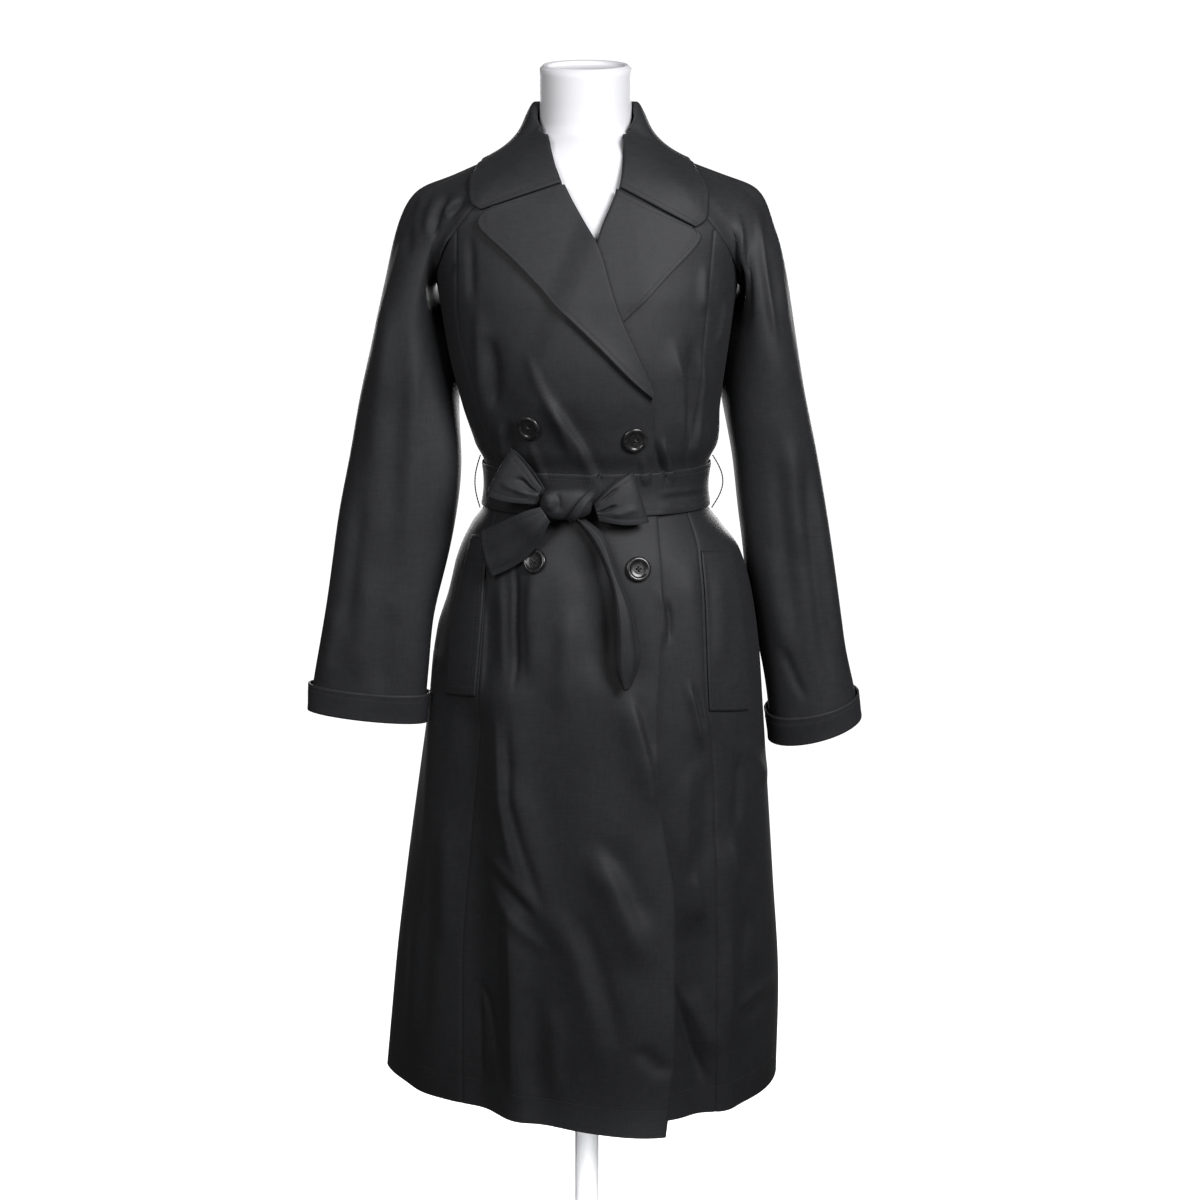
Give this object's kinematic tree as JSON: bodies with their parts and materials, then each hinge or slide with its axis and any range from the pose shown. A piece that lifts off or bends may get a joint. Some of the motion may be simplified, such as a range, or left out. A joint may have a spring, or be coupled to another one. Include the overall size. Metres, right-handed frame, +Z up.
{
  "type": "trench coat on a dress form and stand",
  "caption": "Knee-length double-breasted raglan trench coat with notched collar, turned-up cuffs and a belt tied in a bow, on a limbless dress form with a round stand.",
  "frame": {"origin": "centre of the underside of the stand's round base, on the floor", "axes": "+Z up, the wearer faces -Y, the wearer's right is -X"},
  "size_m": [0.6381, 0.3824, 1.4865],
  "materials": {
    "coat_cloth": "black satin-faced twill",
    "buttons": "glossy black",
    "form": "matt white",
    "stand": "white paint"
  },
  "bodies": {
    "root": {"back": "coat_cloth", "front_right": "coat_cloth", "front_left": "coat_cloth", "side_front_right": "coat_cloth", "side_front_left": "coat_cloth", "sleeve_right": "coat_cloth", "sleeve_left": "coat_cloth", "cuff_right": "coat_cloth", "cuff_left": "coat_cloth", "collar": "coat_cloth", "lapel_right": "coat_cloth", "lapel_left": "coat_cloth", "welt_right": "coat_cloth", "welt_left": "coat_cloth", "belt_band": "coat_cloth", "belt_knot": "coat_cloth", "belt_bow_right": "coat_cloth", "belt_bow_left": "coat_cloth", "belt_tail_right": "coat_cloth", "belt_tail_left": "coat_cloth", "thread_loop_right": "coat_cloth", "thread_loop_left": "coat_cloth", "button_upper_right": "buttons", "button_upper_left": "buttons", "button_lower_right": "buttons", "button_lower_left": "buttons", "form_body": "form", "form_pole": "stand", "form_base": "stand"}
  },
  "joints": []
}
